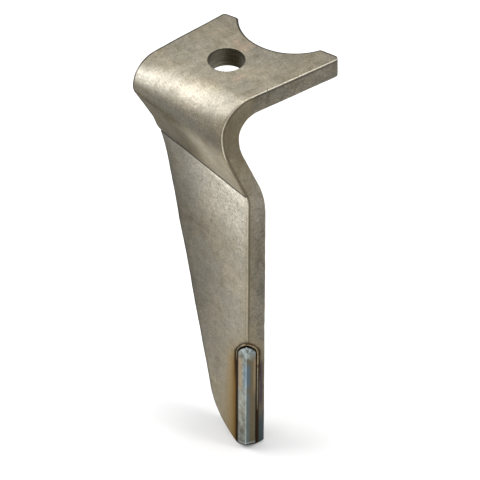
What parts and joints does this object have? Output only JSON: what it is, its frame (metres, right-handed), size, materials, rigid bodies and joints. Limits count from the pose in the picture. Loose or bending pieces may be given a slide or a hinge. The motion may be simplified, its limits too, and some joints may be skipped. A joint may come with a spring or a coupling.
{
  "type": "power harrow tine",
  "caption": "Forged steel power harrow tine: bolted flange with a hub notch, S-bend, tapering blade with a brazed carbide insert in the leading corner at the tip.",
  "frame": {"origin": "centre of the bolt hole on the upper, mating face of the flange", "axes": "+Z along the bolt hole, up out of the upper face; +X from the bend towards the notched end of the flange; the leading edge of the blade is on the -Y side and the blade hangs down along -Z"},
  "size_m": [0.0963, 0.0752, 0.2606],
  "materials": {
    "forged_steel": "satin, as forged and tempered, mottled warm grey",
    "carbide": "satin, ground, slightly tinted by the brazing heat",
    "braze": "matt, darkened by flux and heat"
  },
  "bodies": {
    "root": {"tine_body": "forged_steel", "carbide_insert": "carbide", "braze_seam": "braze"}
  },
  "joints": []
}
